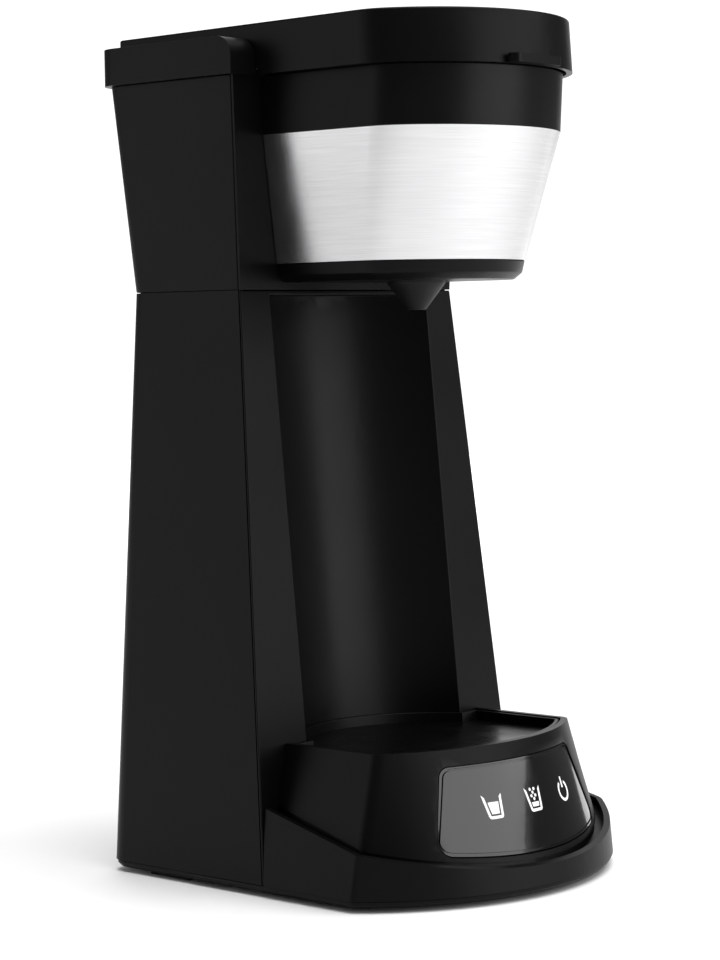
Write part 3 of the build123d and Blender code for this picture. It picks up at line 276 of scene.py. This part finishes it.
def powerSymbol():
    bm = bmesh.new()
    outer, line = symbols["ringRadius"], symbols["line"]
    gap = radians(symbols["ringGapDegrees"])
    start = Vector((sin(gap / 2), 0, cos(gap / 2)))
    ends = [bm.verts.new(start * r) for r in (outer - line, outer)]
    edge = bm.edges.new(ends)
    bmesh.ops.spin(bm, geom=[edge] + ends, cent=(0, 0, 0), axis=(0, 1, 0), angle=2 * pi - gap,
                   steps=symbols["ringSteps"])
    bar = bmesh.ops.create_grid(bm, x_segments=1, y_segments=3, size=0.5,
                                matrix=Matrix.Rotation(pi / 2, 4, "X"))["verts"]
    bmesh.ops.scale(bm, vec=(line, 1, outer), verts=bar)
    bmesh.ops.translate(bm, vec=(0, 0, outer * symbols["barRise"]), verts=bar)
    return bm


panel = bmesh.new()
panel.from_mesh(nodes["control_lens"].data)
panelTree = BVHTree.FromBMesh(panel)
panel.free()


def printOnPanel(name, bm, x):
    # cut into strips 1 mm wide, laid on the curved panel and given an ink layer's thickness
    x += symbols["shift"]
    bmesh.ops.scale(bm, vec=(mm, mm, mm), verts=bm.verts)
    bmesh.ops.translate(bm, vec=(x * mm, 0, symbols["level"] * mm), verts=bm.verts)
    for step in range(-symbols["stripReach"], symbols["stripReach"] + 1):
        bmesh.ops.bisect_plane(bm, geom=bm.verts[:] + bm.edges[:] + bm.faces[:],
                               plane_co=((x + step) * mm, 0, 0), plane_no=(1, 0, 0))
    for v in bm.verts:
        hit = panelTree.ray_cast(Vector((v.co.x, -1, v.co.z)), Vector((0, 1, 0)))[0]
        v.co.y = hit.y - symbols["lift"] * mm
    for face in bm.faces:
        face.normal_update()
        if face.normal.y > 0:
            face.normal_flip()
    bmesh.ops.solidify(bm, geom=bm.faces[:], thickness=symbols["inkThickness"] * mm)
    bmesh.ops.recalc_face_normals(bm, faces=bm.faces)
    addPiece(name, bm, printedInk, "base")


printOnPanel("hot_glass_symbol", glassSymbol(False), -symbols["pitch"])
printOnPanel("iced_glass_symbol", glassSymbol(True), 0)
printOnPanel("power_symbol", powerSymbol(), symbols["pitch"])
print("panel printed")

# studio: pale floor and backdrop, soft boxes around the maker; azimuths turn clockwise from +Y
studio = {"floorSize": 14.0, "floor": "#f7f7f7", "floorRoughness": 0.7, "fibreScale": 400.0,
          "fibreStrength": 0.05, "fibreDepth": 0.0002, "sweepStart": 0.5, "sweepEnd": 2.2, "sweepGlow": 0.9,
          "backdropDistance": 3.2, "backdropHeight": 1.4, "backdropHalf": 1.5, "backdropGlow": 1.2,
          "world": 0.12, "target": (0, 0, 0.18)}
lookAzimuth = radians(48.28)


def stagePiece(name, bm, material):
    mesh = bpy.data.meshes.new(name)
    bm.to_mesh(mesh)
    bm.free()
    piece = bpy.data.objects.new(name, mesh)
    bpy.context.collection.objects.link(piece)
    mesh.materials.append(material)
    return piece


def addFloor():
    # pale paper that glows gently further back, so that no horizon shows behind the maker
    paper, tree, coords = newMaterial("paleStudioPaper")
    fibre = addNode(tree, "TexNoise", {"Scale": studio["fibreScale"], "Detail": 2.0}, {"Vector": coords})
    bump = addNode(tree, "Bump", {"Strength": studio["fibreStrength"], "Distance": studio["fibreDepth"]},
                   {"Height": fibre.outputs["Fac"]})
    along = addNode(tree, "Mapping", {"Rotation": (0, 0, lookAzimuth)}, {"Vector": coords})
    ahead = addNode(tree, "SeparateXYZ", {}, {"Vector": along.outputs["Vector"]})
    sweep = addNode(tree, "MapRange", {"From Min": studio["sweepStart"], "From Max": studio["sweepEnd"],
                                       "To Max": studio["sweepGlow"]}, {"Value": ahead.outputs["Y"]})
    shader = addNode(tree, "BsdfPrincipled", {"Base Color": toLinear(studio["floor"]),
                                              "Roughness": studio["floorRoughness"],
                                              "Emission Color": (1, 1, 1, 1)},
                     {"Normal": bump.outputs["Normal"], "Emission Strength": sweep.outputs["Result"]})
    addNode(tree, "OutputMaterial", {}, {"Surface": shader.outputs["BSDF"]})
    bm = bmesh.new()
    bmesh.ops.create_grid(bm, x_segments=1, y_segments=1, size=studio["floorSize"] / 2)
    stagePiece("studio_floor", bm, paper)


def addBackdrop():
    glow, tree = newMaterial("litBackdrop")[:2]
    shader = addNode(tree, "Emission", {"Color": (1, 1, 1, 1), "Strength": studio["backdropGlow"]})
    addNode(tree, "OutputMaterial", {}, {"Surface": shader.outputs["Emission"]})
    away = Vector((sin(lookAzimuth), cos(lookAzimuth), 0)) * studio["backdropDistance"]
    spot = Matrix.Translation(away + Vector((0, 0, studio["backdropHeight"])))
    turn = Matrix.Rotation(-lookAzimuth, 4, "Z") @ Matrix.Rotation(pi / 2, 4, "X")
    bm = bmesh.new()
    bmesh.ops.create_grid(bm, x_segments=1, y_segments=1, size=studio["backdropHalf"], matrix=spot @ turn)
    stagePiece("lit_backdrop", bm, glow)


def addWorld():
    world = bpy.data.worlds.new("studioWorld")
    bpy.context.scene.world = world
    world.use_nodes = True
    background = world.node_tree.nodes["Background"]
    background.inputs["Color"].default_value = (1, 1, 1, 1)
    background.inputs["Strength"].default_value = studio["world"]


def softBox(name, place, size, radiance):
    # radiance is the brightness a mirror would see
    light = bpy.data.lights.new(name, "AREA")
    light.shape = "RECTANGLE"
    light.size, light.size_y = size
    light.energy = radiance * pi * size[0] * size[1]
    lamp = bpy.data.objects.new(name, light)
    lamp.location = place
    aim = Vector(studio["target"]) - Vector(place)
    lamp.rotation_euler = aim.to_track_quat("-Z", "Y").to_euler()
    bpy.context.collection.objects.link(lamp)


addFloor()
addBackdrop()
addWorld()
softBox("left_box", (-1.45, 1.3, 0.6), (1.3, 1.5), 1.2)
softBox("front_strip", (0.5, -1.7, 0.28), (1.5, 0.5), 5.0)
softBox("front_box", (0.75, -1.5, 1.0), (2.3, 0.9), 2.0)
softBox("top_box", (0.1, -0.3, 2.2), (2.4, 2.4), 4.2)

# camera in front and to the left, at two thirds of the maker's height, looking slightly down
view = {"place": (-0.7572, -0.66405, 0.2081), "downDegrees": 3.35, "rollDegrees": 0.91,
        "lens": 98.366, "sensor": 36.0}
down, roll = radians(view["downDegrees"]), radians(view["rollDegrees"])
forward = Vector((sin(lookAzimuth) * cos(down), cos(lookAzimuth) * cos(down), -sin(down)))
level = Vector((cos(lookAzimuth), -sin(lookAzimuth), 0))
right = cos(roll) * level - sin(roll) * level.cross(forward)
up = right.cross(forward)
camera = bpy.data.objects.new("camera", bpy.data.cameras.new("camera"))
camera.data.sensor_fit = "VERTICAL"
camera.data.sensor_height = view["sensor"]
camera.data.lens = view["lens"]
camera.matrix_world = Matrix((right, up, -forward)).transposed().to_4x4()
camera.matrix_world.translation = view["place"]
bpy.context.collection.objects.link(camera)
bpy.context.scene.camera = camera
bpy.context.scene.view_settings.view_transform = "Standard"
print("studio ready")
